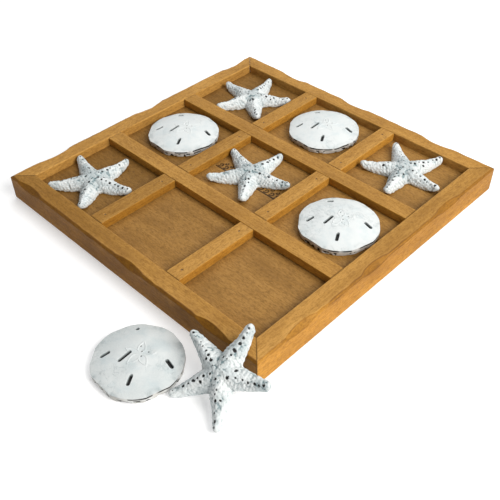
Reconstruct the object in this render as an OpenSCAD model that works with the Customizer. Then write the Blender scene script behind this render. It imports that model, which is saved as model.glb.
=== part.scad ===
// Tic tac toe set: a mitred hardwood tray with nine sunken cells, and nine
// loose resin playing pieces, five starfish and four sand dollars.
//
// Frame: millimetres, +Z up. The origin is the centre of the tray's underside,
// on the table. The rails lie along X and Y; the front rail is on the -Y side.
//
// The loose pieces only rest on the wood or on the table. Seven sit in cells;
// one sand dollar lies flat outside the tray, and one starfish leans on the
// front rail.

/* [Tray] */
// Outside length of each side of the tray.
board_w = 356; // [340:1:400]
// Width of the four rails, seen from above.
rail_w = 19; // [16:0.5:24]
// Thickness of the floor panel, which is flush with the bottom of the rails.
panel_t = 19; // [12:0.5:24]
// Depth of the cells, which is also the height of the dividers.
slat_h = 9.6; // [8:0.2:14]
// Width of the dividers, seen from above.
slat_w = 17.5; // [12:0.5:20]
// Small bevel along the upper edges of the dividers and rails.
edge_bevel = 0.6; // [0.2:0.1:1]
// Bevel along the lower outer edge of the rails.
foot_bevel = 2; // [0.5:0.5:3]

/* [Carved edge] */
// Radius of the gouge that cut the scoops along the upper outer edge.
scoop_r = 90; // [60:5:140]
// Depth of each scoop, measured square to its 45 degree face.
scoop_depth = 3.5; // [1:0.5:5]
// Centres of the scoops along the front rail, from its middle, left to right.
scoops_front = [-146, 16, 126];
// Centres of the scoops along the right rail, from the front.
scoops_right = [-125, -24, 94];
// Centres of the scoops along the back rail, from the right.
scoops_back = [-110, 4, 100];
// Centres of the scoops along the left rail, from the back.
scoops_left = [-148, -8, 126];

/* [Brads] */
// Diameter of the flat brad heads.
brad_head_d = 2.2; // [1.6:0.1:3]
// Thickness of the flat brad heads.
brad_head_t = 0.6; // [0.4:0.1:1]
// Diameter of the brad shanks.
brad_d = 1.2; // [0.8:0.1:1.6]
// Length of a brad, from the top of the head to the point.
brad_len = 18; // [12:1:24]
// How far each head is set below the top of the divider.
brad_set = 0.3; // [0.1:0.1:0.8]
// Distance of each brad from the end of its short divider.
brad_inset = 11; // [6:1:30]

/* [Starfish] */
// Distance from the middle of a starfish to each arm tip.
fish_r = 46.2; // [38:0.2:46.2]
// Height of the hump in the middle of a starfish.
fish_h = 13; // [9:0.5:18]
// Height of an arm's ridge near its tip.
fish_tip_h = 7; // [5:0.5:10]
// Half width that the taper of an arm starts from, at the middle.
fish_root_w = 12; // [10:0.5:14]
// Half width of an arm where its round tip begins.
fish_tip_w = 4.6; // [3.5:0.1:6]
// Height of the upright wall round the bottom edge.
fish_wall = 2.6; // [1.5:0.1:4]
// How far the underside of each tip curls up off the surface below it.
fish_curl = 4.5; // [3:0.5:5]
// Slope of the starfish that leans on the front rail.
lean_tilt = 31.2; // [31:0.1:31.6]

/* [Sand dollars] */
// Radius of a sand dollar.
dollar_r = 39.8; // [34:0.2:40]
// Height of a sand dollar in the middle.
dollar_h = 12; // [10:0.2:12]
// Height of the dome above the upright rim.
dollar_dome = 5.6; // [5:0.2:7]
// Bevels along the upper and lower edges of the rim.
dollar_edge = 0.8; // [0.4:0.1:1.5]
// Depth of the slots and pores pressed into the dome.
slot_depth = 4; // [2:0.5:6]
// Width of the slots.
slot_w = 3; // [1.6:0.1:3]

/* [Hidden] */
$fn = 64;
eps = 0.01;
half = board_w / 2;
well = half - rail_w;                 // half width of the sunken area
rail_h = panel_t + slat_h;
centre_cell = (2 * well - 2 * slat_w) / 3;
slat_c = centre_cell / 2 + slat_w / 2;  // divider centre lines
slat_in = slat_c - slat_w / 2;
slat_out = slat_c + slat_w / 2;
floor_gap = 0.02;                     // under pieces that stand on wood

// Slots of a sand dollar: x, y, length and direction.
slots = [
    [-22.6, -16.2, 9, 78], [-7.6, -7, 14, 92], [13.4, -19, 10, 119],
    [23.6, 14.4, 10, 171], [-26.4, 18.8, 6.5, 40]
];
// Pores near the middle of a sand dollar: x, y.
pores = [[-1, 6], [3.4, 9.4], [-6, 9], [2.6, 2.2]];
pore_d = 1.1;

// Playing pieces in the cells: x, y, turn.
fish_1_at = [-106.7, 109.6, 33.2];
fish_2_at = [-113, -120, 18.5];
fish_3_at = [-2.8, 0, 14.8];
fish_4_at = [109, 115.7, 65.6];
dollar_1_at = [-111.1, 3.5];
dollar_2_at = [-0.5, 115.9];
dollar_3_at = [114.9, 0.7];
// Pieces outside the tray.
dollar_4_at = [91.5, -230.5];
lean_at = [159.6, -198.3];
lean_turn = 22.7;                     // about the starfish's own axis
lean_yaw = -3;                        // direction the slope faces

wood = [0.72, 0.52, 0.30];
wood_dark = [0.62, 0.43, 0.23];
steel = [0.35, 0.34, 0.33];
resin = [0.90, 0.91, 0.90];

// ---- starfish surface ----
tip_from = fish_r - fish_tip_w;       // where the round tip begins
taper = (fish_root_w - fish_tip_w) / tip_from;
notch_s = fish_root_w / (tan(36) + taper);
side_n = 4;                           // steps along each side of an arm
tip_n = 3;                            // steps round half of a tip
rings = [0.3, 0.55, 0.76, 0.92, 1];

function arm_w(s) = fish_root_w - taper * s;
function side_pt(i) =
    let(s = notch_s + (tip_from - notch_s) * i / side_n) [s, arm_w(s)];
function tip_pt(i) =
    let(a = 90 - 90 * i / tip_n)
    [tip_from + fish_tip_w * cos(a), fish_tip_w * sin(a)];
// One side of an arm, from the notch to the very tip.
half_arm = concat(
    [for (i = [0 : side_n - 1]) side_pt(i)],
    [for (i = [0 : tip_n]) tip_pt(i)]
);
half_n = len(half_arm);
// The other side back down to the next notch, which belongs to the next arm.
whole_arm = concat(
    [for (i = [0 : half_n - 1]) [half_arm[i][0], -half_arm[i][1]]],
    [for (i = [half_n - 2 : -1 : 1]) half_arm[i]]
);
arm_n = len(whole_arm);
outline_n = 5 * arm_n;
function turned(p, a) =
    [p[0] * cos(a) - p[1] * sin(a), p[0] * sin(a) + p[1] * cos(a)];
function outline(i) =
    turned(whole_arm[i % arm_n], 72 * floor(i / arm_n));

// Distance along and across the nearest arm.
function fold(p) =
    let(r = norm(p), a = atan2(p[1], p[0]) + 360, m = a - 72 * round(a / 72))
    [r * cos(m), r * abs(sin(m))];
function edge_q(f) =
    f[0] <= tip_from
        ? min(1, f[1] / arm_w(f[0]))
        : min(1, norm([f[0] - tip_from, f[1]]) / fish_tip_w);
function curl(s) = fish_curl * pow(max(0, (s - fish_r * 0.55) / (fish_r * 0.45)), 2);
function ridge(s) =
    let(u = min(1, s / tip_from)) fish_h + (fish_tip_h - fish_h) * pow(u, 1.3);
function top_z(p) =
    let(f = fold(p), q = edge_q(f))
    curl(f[0]) + fish_wall
        + (ridge(f[0]) - fish_wall) * pow(1 - pow(q, 1.6), 0.7);
function under_z(p) = curl(fold(p)[0]);

ring_n = len(rings);
fish_pts = concat(
    [for (k = [0 : ring_n - 1]) for (i = [0 : outline_n - 1])
        let(p = outline(i) * rings[k]) [p[0], p[1], top_z(p)]],
    [for (k = [ring_n - 1 : -1 : 1]) for (i = [0 : outline_n - 1])
        let(p = outline(i) * rings[k]) [p[0], p[1], under_z(p)]],
    [[0, 0, fish_h], [0, 0, 0]]
);
band_n = 2 * ring_n - 1;
apex = band_n * outline_n;
function around(k, i) = k * outline_n + i % outline_n;
fish_faces = concat(
    [for (i = [0 : outline_n - 1]) [apex, around(0, i + 1), around(0, i)]],
    [for (k = [0 : band_n - 2]) for (i = [0 : outline_n - 1])
        [around(k, i), around(k, i + 1), around(k + 1, i)]],
    [for (k = [0 : band_n - 2]) for (i = [0 : outline_n - 1])
        [around(k, i + 1), around(k + 1, i + 1), around(k + 1, i)]],
    [for (i = [0 : outline_n - 1])
        [apex + 1, around(band_n - 1, i), around(band_n - 1, i + 1)]]
);
// Lowest point of the leaning starfish below its own origin.
function lean_z(p) =
    let(t = turned([p[0], p[1]], lean_turn))
    t[1] * sin(lean_tilt) + p[2] * cos(lean_tilt);
lean_low = min([for (p = fish_pts) lean_z(p)]);

// ---- tray ----

// Cross section of a rail: x runs from the outer face inwards, y is up.
module rail_section() {
    polygon([
        [foot_bevel, 0],
        [rail_w, 0],
        [rail_w, rail_h - edge_bevel],
        [rail_w - edge_bevel, rail_h],
        [edge_bevel, rail_h],
        [0, rail_h - edge_bevel],
        [0, foot_bevel]
    ]);
}

// One mitred rail along the side number k, counted anticlockwise from -Y.
module rail(k, scoops) {
    color(wood)
    rotate([0, 0, 90 * k])
    translate([0, -half, 0])
    difference() {
        intersection() {
            translate([-half, 0, 0])
                rotate([90, 0, 90])
                linear_extrude(height = board_w)
                rail_section();
            linear_extrude(height = rail_h)
                polygon([
                    [-half, 0], [half, 0],
                    [half - rail_w, rail_w], [-half + rail_w, rail_w]
                ]);
        }
        for (s = scoops) {
            scoop(s);
        }
    }
}

// A gouge cut across the upper outer edge, its axis sloping down and outwards.
module scoop(s) {
    away = (scoop_r - scoop_depth) / sqrt(2);
    translate([s, -away, rail_h + away])
        rotate([-45, 0, 0])
        cylinder(r = scoop_r, h = 2 * rail_h, center = true, $fn = 180);
}

module rail_front() {
    rail(0, scoops_front);
}

module rail_right() {
    rail(1, scoops_right);
}

module rail_back() {
    rail(2, scoops_back);
}

module rail_left() {
    rail(3, scoops_left);
}

module base_panel() {
    color(wood_dark)
        translate([-well, -well, 0])
        cube([2 * well, 2 * well, panel_t]);
}

// A divider along X, its end at the origin and its middle on the X axis.
module slat(length) {
    rotate([90, 0, 90])
        linear_extrude(height = length)
        polygon([
            [-slat_w / 2, 0],
            [slat_w / 2, 0],
            [slat_w / 2, slat_h - edge_bevel],
            [slat_w / 2 - edge_bevel, slat_h],
            [-slat_w / 2 + edge_bevel, slat_h],
            [-slat_w / 2, slat_h - edge_bevel]
        ]);
}

module divider_long(y) {
    color(wood)
        translate([-well, y, panel_t])
        slat(2 * well);
}

module divider_long_front() {
    divider_long(-slat_c);
}

module divider_long_back() {
    divider_long(slat_c);
}

// A short divider along Y at x, from y0 to y1, with holes for its two brads.
module divider_short(x, y0, y1) {
    color(wood)
    difference() {
        translate([x, y0, panel_t])
            rotate([0, 0, 90])
            slat(y1 - y0);
        for (y = [y0 + brad_inset, y1 - brad_inset]) {
            translate([x, y, rail_h - brad_set - eps])
                cylinder(d = brad_head_d, h = brad_set + 1);
        }
    }
}

module divider_front_left() {
    divider_short(-slat_c, -well, -slat_out);
}

module divider_front_right() {
    divider_short(slat_c, -well, -slat_out);
}

module divider_middle_left() {
    divider_short(-slat_c, -slat_in, slat_in);
}

module divider_middle_right() {
    divider_short(slat_c, -slat_in, slat_in);
}

module divider_back_left() {
    divider_short(-slat_c, slat_out, well);
}

module divider_back_right() {
    divider_short(slat_c, slat_out, well);
}

module brad(x, y) {
    translate([x, y, rail_h - brad_set - brad_len])
        cylinder(d = brad_d, h = brad_len - brad_head_t / 2);
    translate([x, y, rail_h - brad_set - brad_head_t])
        cylinder(d = brad_head_d, h = brad_head_t);
}

module divider_brads() {
    color(steel)
    for (x = [-slat_c, slat_c]) {
        brad(x, -well + brad_inset);
        brad(x, -slat_out - brad_inset);
        brad(x, -slat_in + brad_inset);
        brad(x, slat_in - brad_inset);
        brad(x, slat_out + brad_inset);
        brad(x, well - brad_inset);
    }
}

// ---- playing pieces ----

module starfish() {
    color(resin)
        polyhedron(points = fish_pts, faces = fish_faces, convexity = 6);
}

module starfish_in_cell(at) {
    translate([at[0], at[1], panel_t + floor_gap])
        rotate([0, 0, at[2]])
        starfish();
}

module starfish_1() {
    starfish_in_cell(fish_1_at);
}

module starfish_2() {
    starfish_in_cell(fish_2_at);
}

module starfish_3() {
    starfish_in_cell(fish_3_at);
}

module starfish_4() {
    starfish_in_cell(fish_4_at);
}

// Stands on two arm tips, one on the table and one on the outside sand
// dollar, and leans a third arm on the front rail.
module starfish_5() {
    translate([lean_at[0], lean_at[1], -lean_low])
        rotate([0, 0, lean_yaw])
        rotate([lean_tilt, 0, 0])
        rotate([0, 0, lean_turn])
        starfish();
}

module dollar_section() {
    dome_r = (dollar_r * dollar_r + dollar_dome * dollar_dome) / (2 * dollar_dome);
    bevel_from = dollar_h - dollar_dome - dollar_edge;
    intersection() {
        polygon([
            [0, 0],
            [dollar_r - dollar_edge, 0],
            [dollar_r, dollar_edge],
            [dollar_r, bevel_from],
            [dollar_r - dollar_h, bevel_from + dollar_h],
            [0, bevel_from + dollar_h]
        ]);
        translate([0, dollar_h - dome_r])
            circle(r = dome_r, $fn = 720);
    }
}

// A slot with round ends, open upwards.
module slot(length) {
    for (x = [-1, 1]) {
        translate([x * (length - slot_w) / 2, 0, 0])
            cylinder(d = slot_w, h = dollar_h);
    }
    translate([-(length - slot_w) / 2, -slot_w / 2, 0])
        cube([length - slot_w, slot_w, dollar_h]);
}

module sand_dollar() {
    color(resin)
    difference() {
        rotate_extrude($fn = 128)
            dollar_section();
        for (s = slots) {
            translate([s[0], s[1], dollar_h - 1 - slot_depth])
                rotate([0, 0, s[3]])
                slot(s[2]);
        }
        for (p = pores) {
            translate([p[0], p[1], dollar_h - slot_depth / 2])
                cylinder(d = pore_d, h = dollar_h, $fn = 24);
        }
    }
}

module sand_dollar_1() {
    translate([dollar_1_at[0], dollar_1_at[1], panel_t + floor_gap])
        sand_dollar();
}

module sand_dollar_2() {
    translate([dollar_2_at[0], dollar_2_at[1], panel_t + floor_gap])
        sand_dollar();
}

module sand_dollar_3() {
    translate([dollar_3_at[0], dollar_3_at[1], panel_t + floor_gap])
        sand_dollar();
}

module sand_dollar_4() {
    translate([dollar_4_at[0], dollar_4_at[1], 0])
        sand_dollar();
}

rail_front();
rail_right();
rail_back();
rail_left();
base_panel();
divider_long_front();
divider_long_back();
divider_front_left();
divider_front_right();
divider_middle_left();
divider_middle_right();
divider_back_left();
divider_back_right();
divider_brads();
starfish_1();
starfish_2();
starfish_3();
starfish_4();
starfish_5();
sand_dollar_1();
sand_dollar_2();
sand_dollar_3();
sand_dollar_4();
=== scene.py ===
import itertools
import math

import bpy
import numpy as np
from mathutils import Matrix, Vector


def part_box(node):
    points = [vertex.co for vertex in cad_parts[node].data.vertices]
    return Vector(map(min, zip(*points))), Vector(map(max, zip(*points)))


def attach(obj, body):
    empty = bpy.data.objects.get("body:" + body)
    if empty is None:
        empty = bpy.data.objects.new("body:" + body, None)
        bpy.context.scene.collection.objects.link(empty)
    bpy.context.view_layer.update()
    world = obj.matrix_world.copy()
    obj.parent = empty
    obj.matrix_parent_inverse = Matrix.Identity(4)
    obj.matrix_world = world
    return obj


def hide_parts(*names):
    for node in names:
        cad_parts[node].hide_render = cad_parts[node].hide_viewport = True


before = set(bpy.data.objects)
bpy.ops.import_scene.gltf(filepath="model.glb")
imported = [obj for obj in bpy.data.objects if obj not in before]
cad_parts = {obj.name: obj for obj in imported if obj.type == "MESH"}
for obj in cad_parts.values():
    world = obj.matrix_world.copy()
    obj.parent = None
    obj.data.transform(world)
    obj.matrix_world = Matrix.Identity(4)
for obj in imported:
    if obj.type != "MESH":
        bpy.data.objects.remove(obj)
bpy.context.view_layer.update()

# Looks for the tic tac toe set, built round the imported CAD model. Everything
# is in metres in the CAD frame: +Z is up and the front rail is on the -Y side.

MM = 0.001
TAU = 2 * math.pi

# Sizes read from the frame.
rail_lo, rail_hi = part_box("rail_front")
panel_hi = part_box("base_panel")[1]
star_lo, star_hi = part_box("starfish_1")
disc_lo, disc_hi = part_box("sand_dollar_1")
HALF = rail_hi.x                      # half the tray's outside length
RAIL_W = rail_hi.y - rail_lo.y
RAIL_H = rail_hi.z
WELL = panel_hi.x                     # half the width of the sunken area
FLOOR = panel_hi.z                    # top of the floor panel
FISH_H = star_hi.z - star_lo.z        # height of a starfish's middle
DISC_R = (disc_hi.x - disc_lo.x) / 2  # radius of a sand dollar
DISC_H = disc_hi.z - disc_lo.z        # height of its middle

SEAM = 0.12 * MM                      # half the open joint between two pieces of wood
SKIN = 0.04 * MM                      # how far the wood stays inside its CAD box


# ---------------------------------------------------------------- camera

def add_camera():
    """Looks down at the tray's front right corner, with a slight roll."""
    azimuth, elevation, roll = (math.radians(a) for a in (44.97, 42.66, -0.94))
    target = Vector((82.4, -87.9, 29.0)) * MM
    distance = 0.661
    back = Vector((math.sin(azimuth) * math.cos(elevation),
                   -math.cos(azimuth) * math.cos(elevation), math.sin(elevation)))
    level = Vector((math.cos(azimuth), math.sin(azimuth), 0))
    upright = back.cross(level)
    right = level * math.cos(roll) + upright * math.sin(roll)
    up = upright * math.cos(roll) - level * math.sin(roll)
    data = bpy.data.cameras.new("camera")
    data.lens = 52.0
    data.sensor_width = 36.0
    data.clip_start, data.clip_end = 0.05, 20
    camera = bpy.data.objects.new("camera", data)
    place = Matrix((right, up, back)).transposed().to_4x4()
    place.translation = target + back * distance
    camera.matrix_world = place
    bpy.context.scene.collection.objects.link(camera)
    bpy.context.scene.camera = camera


# ---------------------------------------------------------------- numbers

def lattice(i, seed):
    """A repeatable number from 0 to 1 for each whole-number point."""
    h = (i[:, 0] * 73856093) ^ (i[:, 1] * 19349663) ^ (i[:, 2] * 83492791)
    h = h ^ (seed * 26544357)
    h = (h ^ (h >> 13)) * 1274126177
    h = (h ^ (h >> 16)) & 0xFFFFFF
    return h / float(0xFFFFFF)


def noise(points, cell, seed=0):
    """Smooth noise from -1 to 1 whose features are about one cell wide."""
    q = np.asarray(points, float) / cell
    i = np.floor(q).astype(np.int64)
    f = q - i
    f = f * f * (3 - 2 * f)
    total = np.zeros(len(q))
    for corner in range(8):
        step = np.array([corner & 1, corner >> 1 & 1, corner >> 2 & 1])
        weight = np.prod(np.where(step, f, 1 - f), axis=1)
        total += weight * lattice(i + step, seed)
    return 2 * total - 1


def cobbles(points, cell, seed):
    """Rounded bumps packed about one cell apart: 1 on each crown, 0 in the hollows."""
    q = np.asarray(points, float) / cell
    home = np.floor(q).astype(np.int64)
    best = np.full(len(q), 9.0)
    for step in itertools.product((-1, 0, 1), repeat=3):
        i = home + np.array(step)
        crown = i + np.stack([lattice(i, seed + 101 * k) for k in range(3)], axis=1)
        best = np.minimum(best, ((q - crown) ** 2).sum(axis=1))
    return np.clip(1 - best / 0.75, 0, 1)


def grid_normals(points, rows, cols):
    """Unit normals of a grid of points whose rows are closed rings."""
    grid = points.reshape(rows, cols, 3)
    round_ring = np.roll(grid, -1, axis=1) - np.roll(grid, 1, axis=1)
    down = np.gradient(grid, axis=0)
    normals = np.cross(down, round_ring).reshape(-1, 3)
    return normals / np.maximum(np.linalg.norm(normals, axis=1), 1e-12)[:, None]


def ramp(x, low, high):
    """0 below low, 1 above high, and smooth between."""
    t = np.clip((x - low) / (high - low), 0, 1)
    return t * t * (3 - 2 * t)


def turn_z(degrees):
    a = math.radians(degrees)
    return np.array([[math.cos(a), -math.sin(a), 0], [math.sin(a), math.cos(a), 0], [0, 0, 1]])


def turn_x(degrees):
    a = math.radians(degrees)
    return np.array([[1, 0, 0], [0, math.cos(a), -math.sin(a)], [0, math.sin(a), math.cos(a)]])


# ---------------------------------------------------------------- meshes

def ring_faces(rows, cols, start=0):
    """Quads between rows of points, where each row is a closed ring."""
    r = np.arange(rows - 1)[:, None] * cols
    c = np.arange(cols)[None, :]
    d = (c + 1) % cols
    quads = np.stack([r + c, r + d, r + cols + d, r + cols + c], axis=-1)
    return (quads.reshape(-1, 4) + start).tolist()


def flipped(faces):
    return [face[::-1] for face in faces]


def tube_faces(rows, cols):
    """Quads between closed rings of points, with a face over each end."""
    first = list(range(cols))
    last = list(range((rows - 1) * cols, rows * cols))
    return ring_faces(rows, cols) + [first[::-1], last]


def make(name, verts, faces, material, floats=None, vectors=None, sharp=40):
    """A smooth mesh object with sharp creases, and with the values its material reads."""
    mesh = bpy.data.meshes.new(name)
    mesh.from_pydata(np.asarray(verts).tolist(), [], faces)
    for key, values in (floats or {}).items():
        layer = mesh.attributes.new(key, "FLOAT", "POINT")
        layer.data.foreach_set("value", np.asarray(values, np.float32))
    for key, values in (vectors or {}).items():
        layer = mesh.attributes.new(key, "FLOAT_VECTOR", "POINT")
        layer.data.foreach_set("vector", np.asarray(values, np.float32).ravel())
    mesh.materials.append(material)
    mesh.polygons.foreach_set("use_smooth", [True] * len(mesh.polygons))
    mesh.set_sharp_from_angle(angle=math.radians(sharp))
    mesh.update()
    obj = bpy.data.objects.new(name, mesh)
    bpy.context.scene.collection.objects.link(obj)
    return obj


def belongs(obj, body, slot, *nodes):
    """Ties a piece to its CAD body and hides the CAD nodes it stands for; slot is not used."""
    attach(obj, body)
    if nodes:
        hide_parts(*nodes)
    return obj


def inside(verts, node):
    """Keeps points inside a CAD node's box."""
    lo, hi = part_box(node)
    return np.clip(verts, np.array(lo) + SKIN, np.array(hi) - SKIN)


def cut(obj, cutter):
    """Takes the cutter out of obj for good. The cut shows the cutter's material."""
    change = obj.modifiers.new("cut", "BOOLEAN")
    change.object = cutter
    change.operation = "DIFFERENCE"
    change.solver = "EXACT"
    change.material_mode = "TRANSFER"
    graph = bpy.context.evaluated_depsgraph_get()
    mesh = bpy.data.meshes.new_from_object(obj.evaluated_get(graph))
    obj.modifiers.clear()
    obj.data = mesh
    bpy.data.objects.remove(cutter)


# ---------------------------------------------------------------- materials

def rgb(red, green, blue):
    return (red, green, blue, 1.0)


def darker(tone, part):
    return tuple(c * part for c in tone)


class Shader:
    """A short way to write a material's nodes round one Principled BSDF."""

    def __init__(self, name):
        self.material = bpy.data.materials.new(name)
        self.material.use_nodes = True
        self.tree = self.material.node_tree
        self.tree.nodes.clear()
        out = self.add("OutputMaterial")
        self.main = self.add("BsdfPrincipled")
        self.tree.links.new(self.main.outputs["BSDF"], out.inputs["Surface"])

    def add(self, kind, **settings):
        node = self.tree.nodes.new("ShaderNode" + kind)
        for key, value in settings.items():
            setattr(node, key, value)
        return node

    def put(self, socket, value):
        """Sets a socket to a constant, or links it to another node's output."""
        if isinstance(value, bpy.types.NodeSocket):
            self.tree.links.new(value, socket)
        else:
            socket.default_value = value

    def set(self, **sockets):
        """Sets the main shader's sockets, with _ for the spaces in their names."""
        for key, value in sockets.items():
            self.put(self.main.inputs[key.replace("_", " ")], value)

    def attribute(self, name, output="Fac"):
        return self.add("Attribute", attribute_name=name).outputs[output]

    def position(self):
        return self.add("TexCoord").outputs["Object"]

    def stretch(self, vector, scale):
        node = self.add("VectorMath", operation="MULTIPLY")
        self.put(node.inputs[0], vector)
        node.inputs[1].default_value = scale
        return node.outputs[0]

    def noise(self, vector, scale=1.0, detail=2.0, rough=0.5, twist=0.0):
        node = self.add("TexNoise")
        self.put(node.inputs["Vector"], vector)
        for key, value in (("Scale", scale), ("Detail", detail),
                           ("Roughness", rough), ("Distortion", twist)):
            node.inputs[key].default_value = value
        return node.outputs["Fac"]

    def range(self, value, low, high, to_low=0.0, to_high=1.0):
        node = self.add("MapRange", interpolation_type="SMOOTHSTEP")
        self.put(node.inputs["Value"], value)
        for key, number in (("From Min", low), ("From Max", high),
                            ("To Min", to_low), ("To Max", to_high)):
            node.inputs[key].default_value = number
        return node.outputs["Result"]

    def math(self, operation, a, b):
        node = self.add("Math", operation=operation)
        self.put(node.inputs[0], a)
        self.put(node.inputs[1], b)
        return node.outputs[0]

    def mix(self, factor, a, b, blend="MIX"):
        node = self.add("Mix", data_type="RGBA", blend_type=blend)
        self.put(node.inputs["Factor"], factor)
        self.put(node.inputs["A"], a)
        self.put(node.inputs["B"], b)
        return node.outputs["Result"]

    def bump(self, height, distance, strength=1.0, under=None):
        node = self.add("Bump")
        node.inputs["Strength"].default_value = strength
        node.inputs["Distance"].default_value = distance
        self.put(node.inputs["Height"], height)
        if under is not None:
            self.put(node.inputs["Normal"], under)
        return node.outputs["Normal"]


def wood_material(name, light, mid, dark):
    """Stained open-grained wood. The grain attribute's x runs along the fibres."""
    s = Shader(name)
    grain = s.attribute("grain", "Vector")
    edge = s.attribute("edge")
    seam_and_contact_shade = s.attribute("seam_and_contact_shade")
    burn = s.attribute("burn")
    figure = s.noise(s.stretch(grain, (5.0, 68.0, 68.0)), 1.0, 5.0, 0.6, 0.5)
    cloud = s.noise(s.stretch(grain, (18.0, 40.0, 40.0)), 1.0, 3.0, 0.55)
    fibre = s.noise(s.stretch(grain, (55.0, 800.0, 800.0)), 1.0, 3.0, 0.6, 0.1)
    speckle = s.noise(s.stretch(grain, (260.0, 620.0, 620.0)), 1.0, 3.0, 0.65)
    mottle = s.noise(s.stretch(grain, (110.0, 260.0, 260.0)), 1.0, 4.0, 0.7)
    fleck = s.noise(s.stretch(grain, (420.0, 1500.0, 1500.0)), 1.0, 1.0, 0.5)
    flecks = s.range(fleck, 0.58, 0.70)
    tone = s.mix(s.range(figure, 0.3, 0.72), rgb(*light), rgb(*mid))
    tone = s.mix(s.range(cloud, 0.42, 0.75, 0.0, 0.45), tone, rgb(*dark))
    tone = s.mix(s.range(fibre, 0.35, 0.75, 0.0, 0.28), tone, rgb(*dark))
    tone = s.mix(s.range(speckle, 0.45, 0.66, 0.0, 0.48), tone, rgb(*dark))
    tone = s.mix(s.range(mottle, 0.48, 0.66, 0.0, 0.42), tone, rgb(*dark))
    tone = s.mix(s.math("MULTIPLY", flecks, 0.32), tone, rgb(*darker(dark, 0.5)))
    worn = s.math("MULTIPLY", edge, s.range(cloud, 0.35, 0.65, 0.05, 0.4))
    tone = s.mix(worn, tone, rgb(*darker(light, 1.15)))
    # This darkens each board for its stain, and also paints shade and light onto it.
    tone = s.mix(s.attribute("stain_and_shade"), tone, rgb(0.42, 0.37, 0.18), "MULTIPLY")
    # Painted light: side faces are tinted deeper gold than the tops, in place of the sheen that
    # pales the tops.
    tone = s.mix(s.attribute("honey"), tone, rgb(0.94, 0.83, 0.47), "MULTIPLY")
    # Painted shade: a near-black line along the creases at a scoop's edges.
    tone = s.mix(s.math("MULTIPLY", s.attribute("line"), s.range(cloud, 0.3, 0.6, 0.5, 0.95)),
                 tone, rgb(0.14, 0.055, 0.012))
    # Dark open joints, and painted contact shade along a divider's foot.
    tone = s.mix(s.math("MULTIPLY", seam_and_contact_shade, 0.65), tone, rgb(*darker(dark, 0.25)))
    scorch = s.math("MULTIPLY", burn, s.range(fibre, 0.3, 0.7, 1.0, 0.75))
    tone = s.mix(scorch, tone, rgb(0.018, 0.008, 0.003))
    rough = s.range(fibre, 0.3, 0.7, 0.5, 0.68)
    relief = s.math("SUBTRACT", fibre, s.math("MULTIPLY", flecks, 0.9))
    s.set(Base_Color=tone, Roughness=s.math("ADD", rough, s.math("MULTIPLY", flecks, 0.15)),
          Specular_IOR_Level=0.15, Normal=s.bump(relief, 0.14 * MM, 0.8))
    return s.material


def resin_material():
    """White cast resin: blue-grey wash in the hollows, painted shade in broad patches, black in
    pits and chips.
    """
    s = Shader("white_resin")
    local = s.attribute("local", "Vector")
    wash_and_shade = s.attribute("wash_and_shade")
    ink = s.attribute("ink")
    side = s.attribute("side")
    blotch = s.noise(local, 85.0, 4.0, 0.6)
    fine = s.noise(local, 900.0, 3.0, 0.6)
    tone = s.mix(s.range(blotch, 0.42, 0.72, 0.0, 0.6),
                 rgb(0.66, 0.685, 0.68), rgb(0.54, 0.605, 0.62))
    veins = s.noise(local, 120.0, 4.0, 0.55, 0.8)
    vein = s.range(s.math("ABSOLUTE", s.math("SUBTRACT", veins, 0.5), 0.0), 0.0, 0.03, 1.0, 0.0)
    vein = s.math("MULTIPLY", vein, s.range(s.noise(local, 28.0), 0.45, 0.6))
    vein = s.math("MULTIPLY", s.attribute("marble"), vein)
    tone = s.mix(s.math("MULTIPLY", vein, 0.3), tone, rgb(0.30, 0.36, 0.37))
    stained = s.math("MULTIPLY", side, s.range(blotch, 0.35, 0.6, 0.3, 0.9))
    tone = s.mix(stained, tone, rgb(0.42, 0.385, 0.34))
    # Blue-grey patina in hollows and ribs, and painted shade in broad patches.
    washed_and_shaded = s.math("MULTIPLY", wash_and_shade, s.range(fine, 0.25, 0.65, 0.6, 1.0))
    tone = s.mix(washed_and_shaded, tone, rgb(0.115, 0.18, 0.195))
    tone = s.mix(ink, tone, rgb(0.011, 0.010, 0.010))
    coarse = s.bump(s.math("SUBTRACT", s.noise(local, 320.0, 3.0, 0.55), vein), 0.25 * MM, 0.6)
    s.set(Base_Color=tone, Roughness=s.range(blotch, 0.3, 0.7, 0.5, 0.72),
          Specular_IOR_Level=0.32, Normal=s.bump(fine, 0.06 * MM, 0.6, coarse))
    return s.material


def pit_material():
    """Dark end of the wood fibres round a sunken brad."""
    s = Shader("brad_pit")
    blotch = s.noise(s.position(), 1200.0, 3.0, 0.6)
    s.set(Base_Color=s.mix(s.range(blotch, 0.35, 0.7), rgb(0.13, 0.062, 0.020),
                           rgb(0.24, 0.12, 0.035)),
          Roughness=0.8, Normal=s.bump(blotch, 0.1 * MM, 0.5))
    return s.material


def steel_material():
    """Dull dark brad heads with a touch of rust."""
    s = Shader("brad_steel")
    blotch = s.noise(s.position(), 1500.0, 3.0, 0.6)
    s.set(Base_Color=s.mix(s.range(blotch, 0.35, 0.7), rgb(0.17, 0.12, 0.075),
                           rgb(0.28, 0.16, 0.075)),
          Metallic=0.4, Roughness=s.range(blotch, 0.3, 0.7, 0.45, 0.7),
          Normal=s.bump(blotch, 0.05 * MM, 0.5))
    return s.material


def studio_material():
    """Matt white paper, glowing a little so that it stays pale far from the lights."""
    s = Shader("studio_floor")
    s.set(Base_Color=s.mix(s.noise(s.position(), 3.0), rgb(0.66, 0.66, 0.66),
                           rgb(0.68, 0.68, 0.68)), Roughness=0.9,
          Emission_Color=rgb(1, 1, 1), Emission_Strength=0.42)
    return s.material


WOOD = wood_material("stained_wood", (0.57, 0.305, 0.075), (0.46, 0.235, 0.050),
                     (0.25, 0.115, 0.022))
PANEL = wood_material("panel_wood", (0.38, 0.20, 0.052), (0.31, 0.158, 0.037),
                      (0.165, 0.078, 0.018))
RESIN = resin_material()
PIT = pit_material()
STEEL = steel_material()


# ---------------------------------------------------------------- rails

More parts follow.
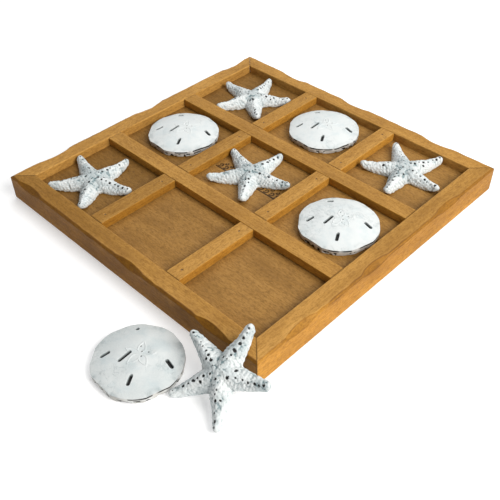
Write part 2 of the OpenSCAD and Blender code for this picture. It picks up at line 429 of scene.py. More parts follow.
FOOT_R = 1.6 * MM                     # rounding of a rail's lower outer edge
INNER_R = 0.8 * MM                    # rounding of a rail's upper inner edge
BEVEL = 1.8 * MM                      # bevel of the upper outer edge between scoops
CREASE = 0.3 * MM                     # softening of the scoops' edges
SCOOP_R = 90 * MM
SCOOP_DEPTH = 3.5 * MM
RAIL_PITCH = 1.1 * MM                 # spacing of the sections along a rail
WAVE = 0.12 * MM                      # how uneven planed faces are
GOUGE = 0.22 * MM                     # how deep the carving tool bit
# Centres of the carved scoops along each rail in millimetres, as in the CAD.
SCOOPS = {
    "rail_front": (-146, 16, 126),
    "rail_right": (-125, -24, 94),
    "rail_back": (-110, 4, 100),
    "rail_left": (-148, -8, 126),
}
# How dark each rail is painted, from its start to its stop going anticlockwise:
# (top start, top stop, side start, side stop). Then how golden its side is.
# Besides each board's own stain, this paints light and shade: the runs stand in for the key light
# falling off along a rail, the dark front side for the shade it stands in, the steps between
# boards for the sheen that changes with the grain's direction, and the gold for the sheen that
# pales the tops.
RAIL_STAIN_AND_SHADE = {
    "rail_front": (0.62, 0.26, 0.85, 0.85, 0.9),
    "rail_right": (0.04, 0.28, 0.04, 0.30, 0.9),
    "rail_back": (0.08, 0.16, 0.30, 0.30, 0.8),
    "rail_left": (0.04, 0.10, 0.30, 0.30, 0.8),
}


def scoop_width(x, centres):
    """How far down the outer face the bevel or scoop reaches, at each x."""
    width = np.full(len(x), BEVEL)
    for centre in centres:
        away = np.clip(np.abs(x - centre * MM), 0, SCOOP_R * 0.9)
        depth = SCOOP_DEPTH - SCOOP_R + np.sqrt(SCOOP_R ** 2 - away ** 2)
        width = np.maximum(width, depth * math.sqrt(2))
    return width


def arc(cx, cy, radius, start, stop, steps):
    """Points on an arc, in degrees, with both ends."""
    a = np.radians(np.linspace(start, stop, steps))
    return np.stack([cx + radius * np.cos(a), cy + radius * np.sin(a)], axis=1)


def line(x0, y0, x1, y1, steps):
    """Points inside a straight line, without its ends."""
    t = (np.arange(steps) + 0.5) / steps
    return np.stack([x0 + (x1 - x0) * t, y0 + (y1 - y0) * t], axis=1)


def rail_section(width):
    """Points (depth, z) round a rail whose scoop is this wide here."""
    soft = CREASE
    low, top = RAIL_H - width, RAIL_H
    return np.concatenate([
        arc(FOOT_R, FOOT_R, FOOT_R, 270, 180, 5),
        line(0, FOOT_R, 0, low - soft, 14),
        [(0, low - soft), (soft * 0.7, low + soft * 0.7)],
        line(soft * 0.7, low + soft * 0.7, width - soft * 0.7, top - soft * 0.7, 6),
        [(width - soft * 0.7, top - soft * 0.7), (width + soft, top)],
        line(width + soft, top, RAIL_W - INNER_R, top, 9),
        arc(RAIL_W - INNER_R, top - INNER_R, INNER_R, 90, 0, 4),
        line(RAIL_W, top - INNER_R, RAIL_W, 0, 14),
        line(RAIL_W, 0, FOOT_R, 0, 7),
    ])


def end_dense(half, pitch):
    """Stations from -half to half, closer together near both ends."""
    near = np.array([0.0, 0.25, 0.7, 1.4]) * MM
    steps = int(2 * half / pitch)
    middle = np.linspace(-half + 2.4 * MM, half - 2.4 * MM, steps)
    return np.concatenate([-half + near, middle, half - near[::-1]])


def rail_stain_and_shade(name, side, local, outside, on_scoop):
    """How dark each point of a rail is painted: by face, run and patch. Along with the stain this
    is painted shade: along the run, on the front side and in the scoops.
    """
    x, _, z = local.T
    top_start, top_stop, side_start, side_stop, _ = RAIL_STAIN_AND_SHADE[name]
    run = ramp(x, -0.6 * HALF, 0.3 * HALF)
    top_stain_and_shade = top_start + (top_stop - top_start) * run
    side_stain_and_shade = side_start + (side_stop - side_start) * run
    cloudy = noise(local, 24 * MM, 51 + side)
    stain_and_shade = np.where(outside, side_stain_and_shade - 0.25 * ramp(-z, -10 * MM, 0), top_stain_and_shade)
    # Scoops darker still: cut end grain takes the stain darker, plus painted shade on the facets.
    stain_and_shade = np.where(on_scoop, side_stain_and_shade + 0.26 + 0.2 * cloudy, stain_and_shade)
    return np.clip(stain_and_shade + 0.12 * cloudy * outside, 0, 1)


def rail_floats(name, side, local, crest, on_scoop):
    """Attribute values of a rail, at points (along, depth, z)."""
    x, depth, z = local.T
    outside = (depth < 0.1 * MM) & ~on_scoop
    to_arris = np.hypot(depth - crest, z - RAIL_H)
    to_heel = np.hypot(depth, z - RAIL_H + crest)
    to_inner = np.hypot(depth - RAIL_W, z - RAIL_H)
    to_edge = np.minimum(np.minimum(to_heel, to_arris), to_inner)
    arris = 1 - ramp(to_arris, 0.1 * MM, 0.8 * MM)
    heel = 1 - ramp(to_heel, 0.1 * MM, 0.7 * MM)
    broken = ramp(noise(local, 16 * MM, 61 + side), -0.6, 0.3)
    return {
        "edge": (1 - ramp(to_edge, 0.4 * MM, 1.8 * MM)) * (depth > crest),
        "seam_and_contact_shade": 1 - ramp(HALF - depth - np.abs(x), 0.2 * MM, 1.2 * MM),
        "burn": np.zeros(len(x)),
        "stain_and_shade": rail_stain_and_shade(name, side, local, outside, on_scoop),
        # Painted light: side faces and scoops get the deeper gold tint.
        "honey": np.where(outside | on_scoop, RAIL_STAIN_AND_SHADE[name][-1], 0),
        # Painted shade: a broken near-black line along a scoop's upper and lower creases.
        "line": np.maximum(arris, 0.8 * heel) * broken,
    }


def add_rail(name, side):
    """One mitred rail on a side counted anticlockwise from the front."""
    t = end_dense(HALF, RAIL_PITCH) / HALF
    width = scoop_width(t * HALF, SCOOPS[name])
    width += 0.35 * MM * noise(np.stack([t * HALF, t * 0, t * 0], axis=1), 9 * MM, side)
    width = np.maximum(width, 2.4 * CREASE)
    sections = np.stack([rail_section(w) for w in width])
    rows, across = sections.shape[:2]
    depth = sections[:, :, 0].ravel()
    z = sections[:, :, 1].ravel()
    x = np.repeat(t, across) * (HALF - depth - SEAM)
    crest = np.repeat(width, across)
    on_scoop = (depth > 0) & (depth < crest) & (z > RAIL_H - crest)
    local = np.stack([x, depth, z], axis=1)
    wave = WAVE * np.abs(noise(local, 18 * MM, 11 + side))
    gouge = GOUGE * np.abs(noise(local, 5 * MM, 31 + side)) * on_scoop
    sink = np.where(z > RAIL_H / 2, wave + gouge, 0)
    depth_moved = np.where(depth < RAIL_W / 2, depth + wave + gouge, depth)
    verts = np.stack([x, depth_moved - HALF, z - sink], axis=1) @ turn_z(90 * side).T
    floats = rail_floats(name, side, local, crest, on_scoop)
    grain = local + np.array([0.9, 0.31, 0.17]) * (side + 1)
    rail = make(name + "_wood", inside(verts, name), flipped(tube_faces(rows, across)),
                WOOD, floats, {"grain": grain})
    return belongs(rail, "tray", "stained_wood", name)


# ---------------------------------------------------------------- dividers

SLAT_R = 0.7 * MM                     # rounding of a divider's upper edges
SLAT_PITCH = 2.2 * MM                 # spacing of the sections along a divider
SLAT_EASE = 0.35 * MM                 # how far a divider's upper end edges are eased
# How dark each divider is painted, from 0 to 1: its own stain, plus painted shade and light
# for how bright it shows under the key, which changes with the grain's direction.
DIVIDER_STAIN_AND_SHADE = {
    "divider_long_front": 0.20,
    "divider_long_back": 0.20,
    "divider_front_left": 0.46,
    "divider_front_right": 0.12,
    "divider_middle_left": 0.36,
    "divider_middle_right": 0.14,
    "divider_back_left": 0.20,
    "divider_back_right": 0.06,
}


def slat_section(width, height):
    """Points (across, z) round a divider."""
    w = width / 2
    return np.concatenate([
        line(w, 0, w, height - SLAT_R, 5),
        arc(w - SLAT_R, height - SLAT_R, SLAT_R, 0, 90, 5),
        line(w - SLAT_R, height, -w + SLAT_R, height, 10),
        arc(-w + SLAT_R, height - SLAT_R, SLAT_R, 90, 180, 5),
        line(-w, height - SLAT_R, -w, 0, 5),
        line(-w, 0, w, 0, 4),
    ])


def add_divider(name, seed):
    """A divider, long or short, with its ends a hair short of what it meets."""
    lo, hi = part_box(name)
    size = hi - lo
    along_y = size.y > size.x
    half = max(size.x, size.y) / 2 - SEAM
    width = min(size.x, size.y)
    section = slat_section(width, size.z)
    stations = end_dense(half, SLAT_PITCH)
    rows, across = len(stations), len(section)
    x = np.repeat(stations, across)
    y = np.tile(section[:, 0], rows)
    z = np.tile(section[:, 1], rows)
    to_end = half - np.abs(x)
    local = np.stack([x, y, z], axis=1)
    wave = WAVE * np.abs(noise(local, 14 * MM, seed))
    ease = SLAT_EASE * (1 - ramp(to_end, 0, 1.0 * MM))
    z_moved = np.where(z > size.z * 0.8, z - wave - ease, z)
    y_moved = y - np.sign(y) * ease * 0.4
    middle = (lo + hi) / 2
    if along_y:
        verts = np.stack([middle.x - y_moved, middle.y + x, lo.z + z_moved], axis=1)
    else:
        verts = np.stack([middle.x + x, middle.y + y_moved, lo.z + z_moved], axis=1)
    to_edge = np.hypot(width / 2 - np.abs(y), size.z - z)
    # Painted contact shade along the foot, where a divider meets the floor.
    foot_shade = 0.7 * (1 - ramp(z, 0.1 * MM, 1.2 * MM))
    floats = {
        "edge": 0.7 * (1 - ramp(to_edge, 0.4 * MM, 1.8 * MM)),
        "seam_and_contact_shade": np.maximum(foot_shade, 1 - ramp(to_end, 0.2 * MM, 1.1 * MM)),
        "burn": np.zeros(len(x)),
        "stain_and_shade": np.full(len(x), DIVIDER_STAIN_AND_SHADE[name]),
        # Painted light: the divider's side faces get the deeper gold tint.
        "honey": 0.9 * ramp(np.abs(y), width / 2 - SLAT_R, width / 2),
        "line": np.zeros(len(x)),
    }
    grain = local + np.array([0.37, 0.11, 0.05]) * (seed + 5)
    slat = make(name + "_wood", inside(verts, name), tube_faces(rows, across),
                WOOD, floats, {"grain": grain})
    return belongs(slat, "tray", "stained_wood", name)


# ---------------------------------------------------------------- brads

BRAD_INSET = 11 * MM                  # from each end of a short divider, as in the CAD
PIT_R = 0.95 * MM
PIT_DEPTH = 0.42 * MM
HEAD_R = 0.75 * MM
HEAD_SINK = 0.2 * MM                  # how far a head's rim lies below the CAD head's top
# A head's outline as part of its radius and height over its rim.
HEAD_SHAPE = ((1.0, -0.5 * MM), (1.0, 0.0), (0.8, 0.08 * MM), (0.4, 0.12 * MM))
SIDES = 20                            # sides of the round pits and heads


def ring(x, y, z, radius):
    a = np.arange(SIDES) * TAU / SIDES
    return np.stack([x + radius * np.cos(a), y + radius * np.sin(a), np.full(SIDES, z)], axis=1)


def brad_pit(x, y):
    """A slightly flared plug to sink a pit in a divider."""
    rings = [ring(x, y, RAIL_H - PIT_DEPTH, PIT_R * 0.9), ring(x, y, RAIL_H + MM, PIT_R * 1.2)]
    verts = np.concatenate(rings)
    zero = np.zeros(len(verts))
    floats = dict.fromkeys(("edge", "burn", "stain_and_shade", "honey", "line"), zero)
    floats["seam_and_contact_shade"] = zero + 1
    return make("brad_pit", verts, tube_faces(2, SIDES), PIT, floats, {"grain": verts})


def add_brads(short_dividers):
    """Sinks two pits in each short divider and puts a low domed head in each."""
    verts, faces = [], []
    head_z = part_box("divider_brads")[1].z - HEAD_SINK
    for name, slat in short_dividers.items():
        lo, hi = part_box(name)
        x = (lo.x + hi.x) / 2
        for y in (lo.y + BRAD_INSET, hi.y - BRAD_INSET):
            cut(slat, brad_pit(x, y))
            start = sum(len(v) for v in verts)
            for part, rise in HEAD_SHAPE:
                verts.append(ring(x, y, head_z + rise, HEAD_R * part))
            faces += ring_faces(len(HEAD_SHAPE), SIDES, start)
            faces.append([start + i for i in range(SIDES)][::-1])
            faces.append([start + (len(HEAD_SHAPE) - 1) * SIDES + i for i in range(SIDES)])
    brads = make("brad_heads", np.concatenate(verts), faces, STEEL)
    return belongs(brads, "tray", "brad_steel", "divider_brads")


# ---------------------------------------------------------------- floor panel

def curl(x, y, size, start, turns, steps=16):
    """A short spiral stroke for the burned ornament, in millimetres."""
    t = np.linspace(0, 1, steps)
    a = np.radians(start + 360 * turns * t)
    r = size * (1 - 0.75 * t)
    return np.stack([x + r * np.cos(a), y + r * np.sin(a)], axis=1)


# The burned border in millimetres: half its length, its bar's y, and the curls' spacing.
BORDER_HALF = 45.0
BORDER_Y = -9.0
CURL_PITCH = 7.4
BURN_DEPTH = 0.25 * MM


def ornament_strokes():
    """A burned border for the middle cell: one bar with a row of curls, as (points, width)."""
    bar = np.array([(-BORDER_HALF, BORDER_Y), (BORDER_HALF, BORDER_Y)])
    strokes = [(bar, 1.7)]
    for x in np.arange(2.6 - BORDER_HALF, BORDER_HALF - 2, CURL_PITCH):
        strokes.append((curl(x, BORDER_Y + 4.8, 3.2, 250, 0.9), 1.6))
        strokes.append((curl(x + CURL_PITCH / 2, BORDER_Y + 9.2, 2.3, 70, -0.8), 1.4))
    return strokes


def stroke_distance(points, path):
    """Distance of each point from a path of straight pieces."""
    best = np.full(len(points), 1e9)
    for a, b in zip(path[:-1], path[1:]):
        d = b - a
        t = np.clip(((points - a) @ d) / (d @ d), 0, 1)
        best = np.minimum(best, np.linalg.norm(points - a - t[:, None] * d, axis=1))
    return best


def panel_stations(half, fine_lo, fine_hi):
    """Stations across the panel, closer together between fine_lo and fine_hi."""
    coarse, fine = 2 * MM, 0.5 * MM
    return np.concatenate([
        np.linspace(-half, fine_lo, int((fine_lo + half) / coarse), endpoint=False),
        np.linspace(fine_lo, fine_hi, int((fine_hi - fine_lo) / fine), endpoint=False),
        np.linspace(fine_hi, half, int((half - fine_hi) / coarse)),
    ])


def add_panel():
    """The floor panel: a slightly uneven top with the burned ornament sunk in it."""
    half = WELL - SEAM
    xs = panel_stations(half, -47 * MM, 49 * MM)
    ys = panel_stations(half, -12 * MM, 5 * MM)[::-1]
    rows, tops = len(xs), len(ys)
    section_y = np.concatenate([[-half, half], ys])
    section_z = np.concatenate([[0, 0], np.full(tops, FLOOR)])
    across = len(section_y)
    x = np.repeat(xs, across)
    y = np.tile(section_y, rows)
    z = np.tile(section_z, rows)
    local = np.stack([x, y, z], axis=1)
    burn = np.zeros(len(x))
    for path, width in ornament_strokes():
        away = stroke_distance(local[:, :2] / MM, path)
        burn = np.maximum(burn, 1 - ramp(away, width * 0.35, width * 0.75))
    burn *= z > 0
    dip = 0.14 * MM * np.abs(noise(local * [0.4, 1, 1], 22 * MM, 5))
    z = np.where(z > 0, z - dip - BURN_DEPTH * burn, z)
    verts = inside(np.stack([x, y, z], axis=1), "base_panel")
    floats = dict.fromkeys(("edge", "seam_and_contact_shade", "honey", "line"), np.zeros(len(verts)))
    floats["burn"] = burn
    # Painted shade: darker over the left cells, where the key's light falls off.
    floats["stain_and_shade"] = 0.5 * ramp(-x, 0.3 * half, 0.6 * half)
    panel = make("base_panel_wood", verts, tube_faces(rows, across),
                 PANEL, floats, {"grain": local + np.array([0, 0.6, 0])})
    return belongs(panel, "tray", "panel_wood", "base_panel")


# ---------------------------------------------------------------- loose pieces

def settle(base, turn, node, detailed):
    """Turns a piece and moves it so that its plain form fills its CAD node's box."""
    lo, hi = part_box(node)
    plain = base @ turn.T
    shift = (np.array(lo) + np.array(hi) - plain.min(0) - plain.max(0)) / 2
    return detailed @ turn.T + shift


# Starfish sizes, as in the CAD.
FISH_R = 46.2 * MM
FISH_TIP_H = 7 * MM
ROOT_W = 12 * MM
TIP_W = 4.6 * MM
WALL_H = 2.6 * MM
CURL_H = 4.5 * MM
TIP_FROM = FISH_R - TIP_W
TAPER = (ROOT_W - TIP_W) / TIP_FROM
NOTCH = ROOT_W / (math.tan(math.radians(36)) + TAPER)
RIB_PITCH = 3.1 * MM                  # spacing of the ribs on an arm's flanks
DOT_R = 1.05 * MM                     # radius of a middling black dot
STAR_AROUND = 640                     # points in each ring of a starfish
STAR_LEVELS = 100                     # rings over its top
# Its wall as part of the way down and part of the outline, then its underside's rings.
STAR_WALL = ((0.15, 1.0), (0.4, 1.0), (0.7, 0.995), (0.92, 0.985), (1.0, 0.97))
STAR_UNDER = (0.9, 0.75, 0.55, 0.35, 0.15, 0.02)


def star_outline(count):
    """Evenly spaced points round the star, with its notches eased."""
    half_tip = [(TIP_FROM + TIP_W * math.cos(a), TIP_W * math.sin(a))
                for a in np.radians(np.linspace(90, 0, 12))]
    arm = [(NOTCH, ROOT_W - TAPER * NOTCH)] + half_tip
    whole = [(s, -w) for s, w in arm] + arm[-2:0:-1]
    corners = np.concatenate([np.array([(s, w, 0) for s, w in whole]) @ turn_z(72 * k).T
                              for k in range(5)])[:, :2]
    loop = np.concatenate([corners, corners[:1]])
    run = np.concatenate([[0], np.cumsum(np.linalg.norm(np.diff(loop, axis=0), axis=1))])
    at = np.linspace(0, run[-1], count, endpoint=False)
    even = np.stack([np.interp(at, run, loop[:, i]) for i in range(2)], axis=1)
    soft = even.copy()
    for _ in range(40):
        soft = (np.roll(soft, 1, axis=0) + 2 * soft + np.roll(soft, -1, axis=0)) / 4
    near = 1 - ramp(np.linalg.norm(even, axis=1), NOTCH * 1.3, NOTCH * 1.9)
    return even + (soft - even) * near[:, None]


def arm_place(points):
    """Distance along the nearest arm, and signed distance across it."""
    r = np.hypot(points[:, 0], points[:, 1])
    a = np.degrees(np.arctan2(points[:, 1], points[:, 0]))
    m = np.radians(a - 72 * np.round(a / 72))
    return r * np.cos(m), r * np.sin(m)


def slimmer(points, detailed):
    """Draws each arm in across its width, more towards its tip."""
    s, w = arm_place(points)
    a = np.arctan2(points[:, 1], points[:, 0]) - np.arctan2(w, s)
    across = np.column_stack([-np.sin(a), np.cos(a), np.zeros(len(a))])
    pull = 0.18 * ramp(s, 16 * MM, FISH_R)
    return detailed - across * (w * pull)[:, None]


def star_heights(points):
    """The plain starfish's top and underside at each point, and how near the edge it is."""
    s, w = arm_place(points)
    w = np.abs(w)
    along = w / np.maximum(ROOT_W - TAPER * s, TIP_W)
    q = np.where(s <= TIP_FROM, along, np.hypot(s - TIP_FROM, w) / TIP_W)
    q = np.minimum(1, q)
    under = CURL_H * np.maximum(0, (s - FISH_R * 0.55) / (FISH_R * 0.45)) ** 2
    ridge = FISH_H + (FISH_TIP_H - FISH_H) * np.minimum(1, s / TIP_FROM) ** 1.3
    return under + WALL_H + (ridge - WALL_H) * (1 - q ** 1.6) ** 0.7, under, q


def dot_centres(seed):
    """Where the black dots sit: a ring round the middle and a row along each arm."""
    rng = np.random.default_rng(seed)
    spots = []
    for arm in range(5):
        row = [(6.2, 0.0)] + [(11.5 + 5.2 * i, -1.4) for i in range(6)] + [(42.0, -0.8)]
        row += [(rng.uniform(9, 24), rng.uniform(-5, 5)) for _ in range(2)]
        for s, w in row:
            p = np.array([s + rng.uniform(-1.0, 1.0), w + rng.uniform(-0.6, 0.6), 0]) * MM
            size = DOT_R * rng.choice([0.5, 0.85, 1.1, 1.4])
            spots.append((*(turn_z(72 * arm) @ p)[:2], size))
    return spots


def starfish_mesh(seed):
    """Plain points, detailed points, faces and attribute values of one starfish."""
    outline = star_outline(STAR_AROUND)
    t = 1 - (1 - np.linspace(0.008, 1, STAR_LEVELS)) ** 1.25
    flat = (outline[None] * t[:, None, None]).reshape(-1, 2)
    top, under, q = star_heights(flat)
    upper = np.column_stack([flat, top])
    edge_under = under[-STAR_AROUND:]
    wall = np.concatenate([
        np.column_stack([outline * part, edge_under + WALL_H * (1 - drop)])
        for drop, part in STAR_WALL])
    below = np.concatenate([
        np.column_stack([outline * part, star_heights(outline * part)[1]])
        for part in STAR_UNDER])
    plain = np.concatenate([upper, wall, below])
    detailed, floats = starfish_detail(plain, q, seed)
    return plain, detailed, flipped(tube_faces(len(plain) // STAR_AROUND, STAR_AROUND)), floats


def starfish_detail(plain, q, seed):
    """Ribs, nodules and dotted pits on a starfish, with its wash, painted shade and ink."""
    s, w = arm_place(plain)
    near_edge = np.ones(len(plain))
    near_edge[:len(q)] = q
    is_top = np.zeros(len(plain))
    is_top[:len(q)] = 1
    outside = np.ones(len(plain))
    outside[-len(STAR_UNDER) * STAR_AROUND:] = 0
    flank = ramp(near_edge, 0.30, 0.55) * ramp(s, 9 * MM, 14 * MM) * is_top
    drift = 0.9 * MM * noise(plain, 6 * MM, seed + 1)
    wave = 0.5 + 0.5 * np.cos(TAU * (s + 0.45 * np.abs(w) + drift) / RIB_PITCH)
    groove = wave ** 2 * flank * ramp(noise(plain, 5 * MM, seed + 7), -0.6, 0.2)
    nodule = cobbles(plain, 2.9 * MM, seed + 2)
    small = cobbles(plain, 1.7 * MM, seed + 8)
    swell = noise(plain, 7 * MM, seed + 4)
    grit = noise(plain, 1.2 * MM, seed + 3)
    pit = np.zeros(len(plain))
    for x, y, size in dot_centres(seed):
        away = np.hypot(plain[:, 0] - x, plain[:, 1] - y) + 0.2 * MM * grit
        pit = np.maximum(pit, (1 - ramp(away, size * 0.65, size * 1.1)) * is_top)
    rise = 0.75 * MM * (nodule - 0.5) + 0.35 * MM * (small - 0.5) + 0.12 * MM * grit
    rise = rise + 0.3 * MM * swell - 0.3 * MM * groove + 0.3 * MM * near_edge
    rise = rise * (1 - pit) * outside - 0.6 * MM * pit
    rise = np.where(rise > 0, rise * (1 - ramp(s, TIP_FROM, FISH_R - MM)), rise)
    normals = grid_normals(plain, len(plain) // STAR_AROUND, STAR_AROUND)
    detailed = slimmer(plain, plain + normals * rise[:, None])
    middle = 1 - ramp(np.hypot(plain[:, 0], plain[:, 1]), 8 * MM, 20 * MM)
    # Broad grey patches, heavier in the middle: part patina, part painted shade.
    patch = ramp(noise(plain, 10 * MM, seed + 5) + 0.4 * middle, 0.0, 0.6)
    hollow = 1 - ramp(nodule + 0.4 * small, 0.15, 0.8)
    wash_and_shade = 0.35 * groove + (0.75 + 0.15 * middle) * patch * (0.45 + 0.55 * hollow) + 0.45 * hollow
    floats = {"wash_and_shade": np.clip(wash_and_shade, 0, 1), "ink": ramp(pit, 0.25, 0.6),
              "side": np.zeros(len(plain)), "marble": np.zeros(len(plain))}
    return detailed, floats


def add_starfish(name, turn, seed):
    plain, detailed, faces, floats = starfish_mesh(seed)
    verts = inside(settle(plain, turn, name, detailed), name)
    local = plain + np.array([0.11, 0.07, 0.05]) * (seed + 1)
    piece = make(name + "_resin", verts, faces, RESIN, floats, {"local": local}, 60)
    return belongs(piece, name, "white_resin", name)


# More sand dollar sizes: the dome and its slots' width are as in the CAD.
DOME = 5.6 * MM
DOME_R = (DISC_R ** 2 + DOME ** 2) / (2 * DOME)
WALL_TOP = DISC_H - DOME
DISC_AROUND = 560                     # points in each ring of a sand dollar
SLOT_W = 3 * MM
SLOT_DEPTH = 3.2 * MM
PORE_W = 1.3 * MM
PORE_DEPTH = 0.9 * MM
PETAL_RISE = 0.34 * MM                # height of the raised five-petal figure
# Slots as x, y, length in millimetres and direction in degrees.
SLOTS = ((-22.6, -16.2, 9, 78), (-7.6, -7, 14, 92), (13.4, -19, 10, 119), (23.6, 14.4, 10, 171),
         (-26.4, 18.8, 6.5, 40))
PORES = ((-1, 6), (3.4, 9.4), (-6, 9), (2.6, 2.2))
PETAL_AT = (0.0, 3.0 * MM)


def dome_z(r):
    return DISC_H - DOME_R + np.sqrt(DOME_R ** 2 - r ** 2)


def disc_profile():
    """Points (r, z) from the middle of the top over the rim to the middle below."""
    shoulder = DISC_R - 0.45 * MM
    top_r = np.linspace(0.4 * MM, shoulder, 112)       # close enough for clean slots
    top = np.column_stack([top_r, dome_z(top_r)])
    wall = np.linspace(WALL_TOP - 0.5 * MM, 0.5 * MM, 12)
    bulge = 0.35 * MM * np.abs(wall / WALL_TOP - 0.6) / 0.4
    side = np.concatenate([
        [(DISC_R - 0.1 * MM, WALL_TOP - 0.15 * MM)],
        np.column_stack([DISC_R - bulge, wall]),
        [(DISC_R - 0.9 * MM, 0.15 * MM), (DISC_R - 1.5 * MM, 0.0)]])
    under = np.array([(r, 0.0) for r in np.linspace(DISC_R * 0.85, 0.4 * MM, 7)])
    return np.concatenate([top, side, under]), len(top), len(side)


# Flats of the mould's uneven outline: direction in degrees, and part of the full radius.
FLATS = ((-92, 0.955), (-14, 0.965), (38, 0.988), (80, 0.985), (120, 0.982), (163, 0.982),
         (-142, 0.975))


def facets(angle):
    """Part of the full radius that the faintly many-sided outline reaches."""
    reach = np.ones(len(angle))
    for direction, part in FLATS:
        off = np.abs((angle - math.radians(direction) + math.pi) % TAU - math.pi)
        reach = np.minimum(reach, part / np.cos(np.minimum(off, 0.9)))
    return reach


def slot_depths(x, y, slots, width):
    """How deep each point lies in a round-ended slot, from 0 to 1."""
    depth = np.zeros(len(x))
    for sx, sy, length, turn in slots:
        a = math.radians(turn)
        dx, dy = x - sx * MM, y - sy * MM
        half = max(0, (length * MM - width) / 2)
        u = dx * math.cos(a) + dy * math.sin(a)
        v = dy * math.cos(a) - dx * math.sin(a)
        away = np.hypot(np.maximum(0, np.abs(u) - half), v)
        depth = np.maximum(depth, 1 - ramp(away, width * 0.36, width * 0.60))
    return depth


def petals(x, y):
    """Raised outline of a small five-petalled flower, from 0 to 1."""
    dx, dy = x - PETAL_AT[0], y - PETAL_AT[1]
    r = np.hypot(dx, dy)
    a = np.degrees(np.arctan2(dy, dx)) + 18
    m = np.radians(a - 72 * np.round(a / 72))
    u, v = r * np.cos(m), np.abs(r * np.sin(m))
    t = np.clip(u / (14 * MM), 0, 1)
    half = 3.1 * MM * np.sin(math.pi * t ** 0.8)
    return (1 - ramp(np.abs(v - half), 0.2 * MM, 0.8 * MM)) * (u > 1.5 * MM) * (t < 1)


def disc_mesh(seed, slots, top_grey):
    """Plain points, detailed points, faces and attribute values of one sand dollar."""
    profile, tops, sides = disc_profile()
    rows = len(profile)
    angle = np.arange(DISC_AROUND) * TAU / DISC_AROUND
    r = np.repeat(profile[:, 0], DISC_AROUND)
    z = np.repeat(profile[:, 1], DISC_AROUND)
    a = np.tile(angle, rows)
    plain = np.column_stack([r * np.cos(a), r * np.sin(a), z])
    row = np.repeat(np.arange(rows), DISC_AROUND)
    is_top = row < tops
    is_side = (row >= tops) & (row < tops + sides)
    squeeze = 1 + (np.tile(facets(angle), rows) - 1) * (r / DISC_R) ** 3
    x, y = plain[:, 0] * squeeze, plain[:, 1] * squeeze
    z = np.where(is_top, dome_z(np.hypot(x, y)), z)
    hole = slot_depths(x, y, slots, SLOT_W) * is_top
    pore = slot_depths(x, y, [(px, py, 0, 0) for px, py in PORES], PORE_W) * is_top
    swell = noise(plain, 11 * MM, seed + 2)
    lump = noise(plain, 4 * MM, seed + 3)
    chip = ramp(noise(plain, 3.2 * MM, seed + 4) + 0.5 * lump, 0.05, 0.55)
    chip = chip * (1 - ramp(z, 1.2 * MM, 4.6 * MM)) * is_side
    nick = ramp(noise(plain, 4.5 * MM, seed + 6), 0.25, 0.7)
    nick = nick * ramp(z, WALL_TOP - 2 * MM, WALL_TOP)
    z = z - is_top * (0.22 * MM * (1 + swell) + 0.05 * MM * (1 + lump))
    z = z + PETAL_RISE * petals(x, y) * is_top - SLOT_DEPTH * hole - PORE_DEPTH * pore
    dent = is_side * (0.25 * MM * (1 + lump) + 0.9 * MM * chip + 0.5 * MM * nick)
    pull = 1 - dent / np.maximum(r, MM)
    detailed = np.column_stack([x * pull, y * pull, np.maximum(z, 0)])
    rim = ramp(r, DISC_R * 0.80, DISC_R) * is_top
    wash_and_shade = 0.30 * rim * ramp(lump, 0, 0.7) + 0.5 * ramp(hole, 0.02, 0.3) * (hole < 0.9)
    wash_and_shade = wash_and_shade + is_side * 0.3 * ramp(lump, -0.1, 0.7) + top_grey * (1 + 0.5 * swell) * is_top
    floats = {"wash_and_shade": np.clip(wash_and_shade, 0, 1),
              "ink": disc_ink(seed, plain, a, is_side, chip, hole, pore),
              "side": np.clip(is_side * 0.75 + rim * 0.1, 0, 1), "marble": is_top * 1.0}
    return plain, detailed, flipped(tube_faces(rows, DISC_AROUND)), floats


def disc_ink(seed, plain, a, is_side, chip, hole, pore):
    """Black in a sand dollar's slots, pores and chips, and in a broken line under its rim."""
    toward = 0.5 + 0.5 * np.cos(a - math.radians(-50))
    chips = chip * (0.35 + 0.65 * toward) * 1.4
    ledge = np.exp(-((plain[:, 2] - WALL_TOP + 1.1 * MM) / (0.8 * MM)) ** 2) * is_side
    broken = ramp(noise(plain, 5 * MM, seed + 5), -0.15, 0.3) * ramp(toward, 0.3, 0.9)
    ink = ramp(np.maximum(chips, ledge * broken), 0.25, 0.6)
    ink = np.maximum(ink, np.maximum(ramp(hole, 0.2, 0.75) * 0.96, 0.8 * pore))
    return np.clip(ink, 0, 1)


def add_sand_dollar(name, seed, slots, top_grey):
    plain, detailed, faces, floats = disc_mesh(seed, slots, top_grey)
    verts = settle(plain, np.eye(3), name, detailed)
    local = plain + np.array([0.13, 0.05, 0.09]) * (seed + 1)
    piece = make(name + "_resin", verts, faces, RESIN, floats, {"local": local}, 35)
    return belongs(piece, name, "white_resin", name)


# ---------------------------------------------------------------- studio

def add_floor():
    """A wide round sheet just under the tray, swept up at its far edge."""
    flat_r = 3.5
    sweep_r = 2.5
    drop = 0.05 * MM
    sides = 64
    profile = arc(flat_r, sweep_r, sweep_r, -90, 0, 12)
    profile = np.concatenate([[(0.5, 0.0)], profile])
    a = np.arange(sides) * TAU / sides
    verts = np.array([(r * math.cos(t), r * math.sin(t), z - drop)
                      for r, z in profile for t in a])
    faces = flipped(ring_faces(len(profile), sides)) + [list(range(sides))]
    make("studio_floor", verts, faces, studio_material())


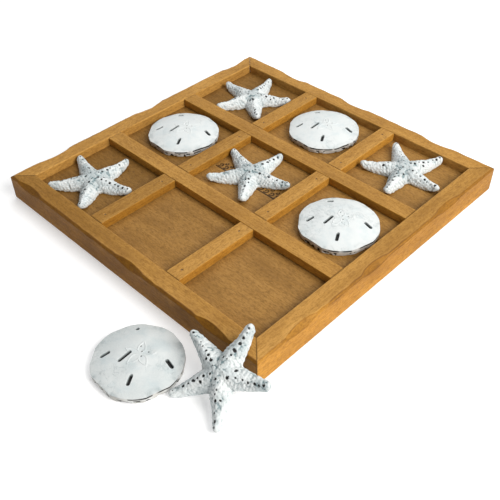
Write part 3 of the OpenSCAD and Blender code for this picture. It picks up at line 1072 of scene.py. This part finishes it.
def add_light(name, place, target, size, power, tint):
    data = bpy.data.lights.new(name, "AREA")
    data.shape = "DISK"
    data.size = size
    data.energy = power
    data.color = tint
    light = bpy.data.objects.new(name, data)
    light.location = place
    aim = Vector(target) - Vector(place)
    light.rotation_euler = aim.to_track_quat("-Z", "Y").to_euler()
    bpy.context.scene.collection.objects.link(light)


def add_studio():
    """A soft key from the right, a wide weaker light overhead and a pale surround."""
    add_floor()
    add_light("key", (1.48, 0.15, 1.20), (0, 0, 0), 1.2, 44.0, (1.0, 0.98, 0.95))
    add_light("overhead", (-0.5, 0.6, 1.3), (-0.05, 0.05, 0), 1.4, 12.0, (0.97, 0.99, 1.0))
    world = bpy.data.worlds.new("surround")
    world.use_nodes = True
    world.node_tree.nodes["Background"].inputs["Color"].default_value = rgb(0.95, 0.97, 1.0)
    world.node_tree.nodes["Background"].inputs["Strength"].default_value = 0.16
    bpy.context.scene.world = world
    bpy.context.scene.view_settings.view_transform = "Standard"


# ---------------------------------------------------------------- build

# How each starfish is turned, as in the CAD.
STARFISH = {
    "starfish_1": turn_z(33.2),
    "starfish_2": turn_z(18.5),
    "starfish_3": turn_z(14.8),
    "starfish_4": turn_z(65.6),
    "starfish_5": turn_z(-3) @ turn_x(31.2) @ turn_z(22.7),
}
# The sand dollar outside the tray has a small round hole in place of its fifth slot.
# Each has its slots, and how much its top is greyed.
ROUND_HOLE = ((-25.6, 20.8, 0, 0),)
SAND_DOLLARS = {
    "sand_dollar_1": (SLOTS, 0.02),
    "sand_dollar_2": (SLOTS, 0.02),
    "sand_dollar_3": (SLOTS, 0.03),
    "sand_dollar_4": (SLOTS[:4] + ROUND_HOLE, 0.16),
}


def build():
    add_camera()
    for side, name in enumerate(SCOOPS):
        add_rail(name, side)
    add_panel()
    slats = {name: add_divider(name, seed) for seed, name in enumerate(DIVIDER_STAIN_AND_SHADE)}
    add_brads({name: slat for name, slat in slats.items() if "long" not in name})
    for seed, (name, turn) in enumerate(STARFISH.items()):
        add_starfish(name, turn, 40 + seed)
    for seed, (name, (slots, top_grey)) in enumerate(SAND_DOLLARS.items()):
        add_sand_dollar(name, 80 + seed, slots, top_grey)
    add_studio()


build()
